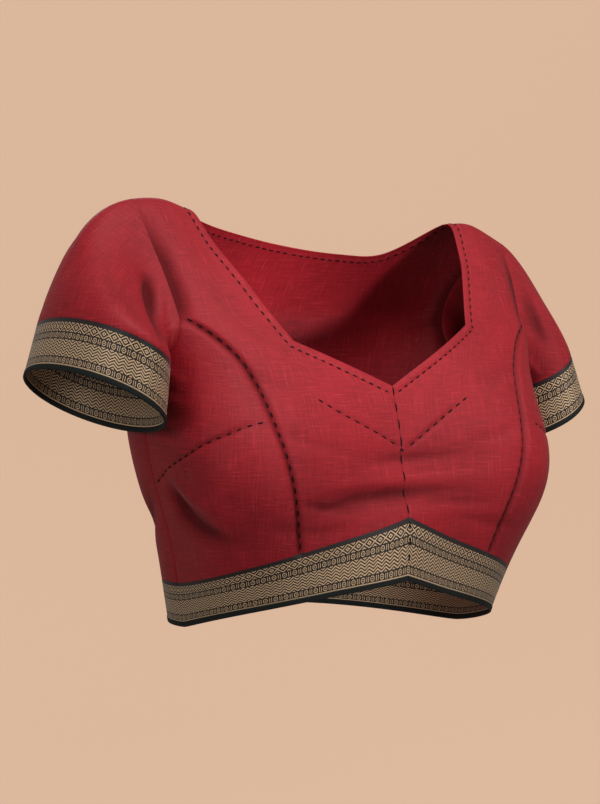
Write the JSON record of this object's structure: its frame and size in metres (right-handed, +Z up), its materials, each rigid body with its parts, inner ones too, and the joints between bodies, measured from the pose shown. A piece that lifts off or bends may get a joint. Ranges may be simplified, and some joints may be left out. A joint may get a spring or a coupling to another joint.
{
  "type": "saree blouse worn form",
  "caption": "Short fitted saree blouse in its hollow worn form, with princess seams, an angled sweetheart neck, short set-in sleeves and zari borders at hem and cuffs.",
  "frame": {"origin": "between the two points where the neck edge crosses the shoulder seams, where the wearer's shoulders hold the blouse", "axes": "+Z up, the wearer faces -Y, and +X is towards the wearer's left"},
  "size_m": [0.4951, 0.2055, 0.3221],
  "materials": {
    "red_silk": "satin",
    "zari_border": "satin",
    "dark_edge": "matte"
  },
  "bodies": {
    "root": {"back": "red_silk", "front_centre_left": "red_silk", "front_centre_right": "red_silk", "front_side_left": "red_silk", "front_side_right": "red_silk", "hem_border_back": "zari_border", "hem_border_front_left": "zari_border", "hem_border_front_right": "zari_border", "hem_edge_back": "dark_edge", "hem_edge_front_left": "dark_edge", "hem_edge_front_right": "dark_edge", "sleeve_border_left": "zari_border", "sleeve_border_right": "zari_border", "sleeve_edge_left": "dark_edge", "sleeve_edge_right": "dark_edge", "sleeve_left": "red_silk", "sleeve_right": "red_silk"}
  },
  "joints": []
}
